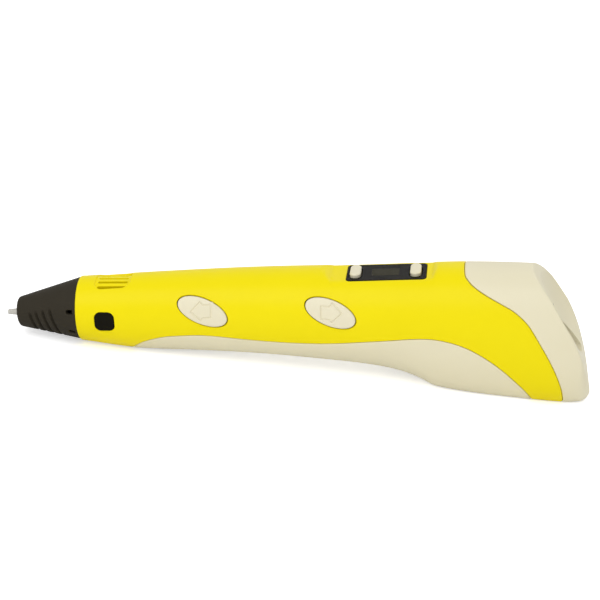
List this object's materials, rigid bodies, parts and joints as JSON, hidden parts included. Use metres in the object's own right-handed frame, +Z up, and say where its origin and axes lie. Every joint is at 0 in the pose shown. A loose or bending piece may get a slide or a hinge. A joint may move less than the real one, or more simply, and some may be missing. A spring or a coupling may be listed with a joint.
{
  "type": "three d pen",
  "caption": "Hand-held drawing pen that melts plastic filament: two-tone casing, tapered nose, oval side keys, top display, hot end, cooling fan and geared filament drive.",
  "frame": {"origin": "on the ground under the middle of the pen's length and width, the pen lying on its heel and front underside", "axes": "+X from the nozzle to the rear end, +Z up, side keys on -Y"},
  "size_m": [0.1861, 0.031, 0.0403],
  "materials": {
    "yellow_plastic": "satin moulded yellow",
    "ivory_plastic": "satin moulded ivory",
    "nose_plastic": "fine matt texture, warm black",
    "smoked_window": "polished, smoked",
    "screw_steel": "turned",
    "heater_wire": "drawn wire",
    "ceramic": "unglazed white ceramic",
    "bearing_steel": "polished",
    "gear_brass": "machined",
    "white_nylon": "moulded",
    "tube_plastic": "smooth fluoropolymer",
    "black_plastic": "moulded",
    "switch_steel": "stamped",
    "circuit_board": "solder mask",
    "led_lens": "clear dome",
    "display_glass": "unlit display",
    "red_lead": "insulated wire",
    "black_lead": "insulated wire"
  },
  "bodies": {
    "casing": {"upper_shell": "yellow_plastic", "belly_shell": "ivory_plastic", "tail_cap": "ivory_plastic", "indicator_lens": "smoked_window", "shell_screws": "screw_steel", "nozzle": "ceramic", "heater_coil": "heater_wire", "heater_sleeve": "ceramic", "thermistor": "black_plastic", "heat_break": "screw_steel", "cold_collar": "white_nylon", "fan_frame": "black_plastic", "feed_tube": "tube_plastic", "inlet_tube": "tube_plastic", "inlet_guide": "black_plastic", "side_switches": "switch_steel", "main_board": "circuit_board", "board_chips": "black_plastic", "indicator_board": "circuit_board", "indicator_led": "led_lens", "display_window": "smoked_window", "display_panel": "display_glass", "display_board": "circuit_board", "top_switches": "switch_steel", "drive_frame": "white_nylon", "drive_cover": "white_nylon", "drive_screws": "screw_steel", "shaft_bushes": "gear_brass", "gearbox": "switch_steel", "motor": "switch_steel", "motor_cap": "black_plastic", "motor_bracket": "switch_steel", "idler_pivot": "screw_steel", "idler_spring": "heater_wire", "power_socket": "black_plastic", "socket_contact": "bearing_steel", "heater_leads": "black_lead", "fan_leads": "black_lead", "motor_leads": "red_lead", "socket_leads": "black_lead"},
    "nose": {"nose_cone": "nose_plastic"},
    "fan": {"fan_rotor": "black_plastic"},
    "feed_button": {"feed_key": "ivory_plastic", "feed_plunger": "black_plastic"},
    "retract_button": {"retract_key": "ivory_plastic", "retract_plunger": "black_plastic"},
    "heat_button": {"heat_key": "ivory_plastic", "heat_plunger": "black_plastic"},
    "speed_button": {"speed_key": "ivory_plastic", "speed_plunger": "black_plastic"},
    "feed_train": {"feed_shaft": "screw_steel", "feed_gear": "white_nylon", "hob": "gear_brass"},
    "pinion_train": {"gearbox_shaft": "screw_steel", "drive_pinion": "gear_brass"},
    "idler_lever": {"idler_arm": "white_nylon", "idler_axle": "screw_steel"},
    "idler_wheel": {"idler_roller": "bearing_steel"}
  },
  "joints": [
    {"name": "feed_press", "type": "slide", "parent": "casing", "child": "feed_button", "axis": [0.0399, 0.9397, -0.3397], "range_m": [0, 0.0006], "stiffness_N_per_m": 900, "springref_m": -0.0004},
    {"name": "retract_press", "type": "slide", "parent": "casing", "child": "retract_button", "axis": [0.0399, 0.9397, -0.3397], "range_m": [0, 0.0006], "stiffness_N_per_m": 900, "springref_m": -0.0004},
    {"name": "heat_press", "type": "slide", "parent": "casing", "child": "heat_button", "axis": [0.1426, 0, -0.9898], "range_m": [0, 0.0004], "stiffness_N_per_m": 900, "springref_m": -0.0004},
    {"name": "speed_press", "type": "slide", "parent": "casing", "child": "speed_button", "axis": [0.1426, 0, -0.9898], "range_m": [0, 0.0004], "stiffness_N_per_m": 900, "springref_m": -0.0004},
    {"name": "nose_pull", "type": "slide", "parent": "casing", "child": "nose", "axis": [-0.9932, 0, -0.1167], "range_m": [0, 0.045]},
    {"name": "fan_spin", "type": "hinge", "parent": "casing", "child": "fan", "pos_m": [-0.05752, 0, 0.01614], "axis": [-0.1167, 0, 0.9932], "continuous": true},
    {"name": "feed_spin", "type": "hinge", "parent": "casing", "child": "feed_train", "pos_m": [0.03086, 0, 0.01632], "axis": [0, 1, 0], "continuous": true},
    {"name": "pinion_spin", "type": "hinge", "parent": "casing", "child": "pinion_train", "pos_m": [0.0394, 0, 0.01112], "axis": [0, 1, 0], "continuous": true},
    {"name": "idler_swing", "type": "hinge", "parent": "casing", "child": "idler_lever", "pos_m": [0.02278, 0, 0.02336], "axis": [0, -1, 0], "range_deg": [0, 4], "stiffness_Nm_per_rad": 0.08, "springref_deg": -8.59},
    {"name": "idler_spin", "type": "hinge", "parent": "idler_lever", "child": "idler_wheel", "pos_m": [0.02996, 0, 0.02394], "axis": [0, 1, 0], "continuous": true}
  ],
  "couplings": [
    {"joint": "pinion_spin", "follows": "feed_spin", "ratio": -1.2222}
  ]
}
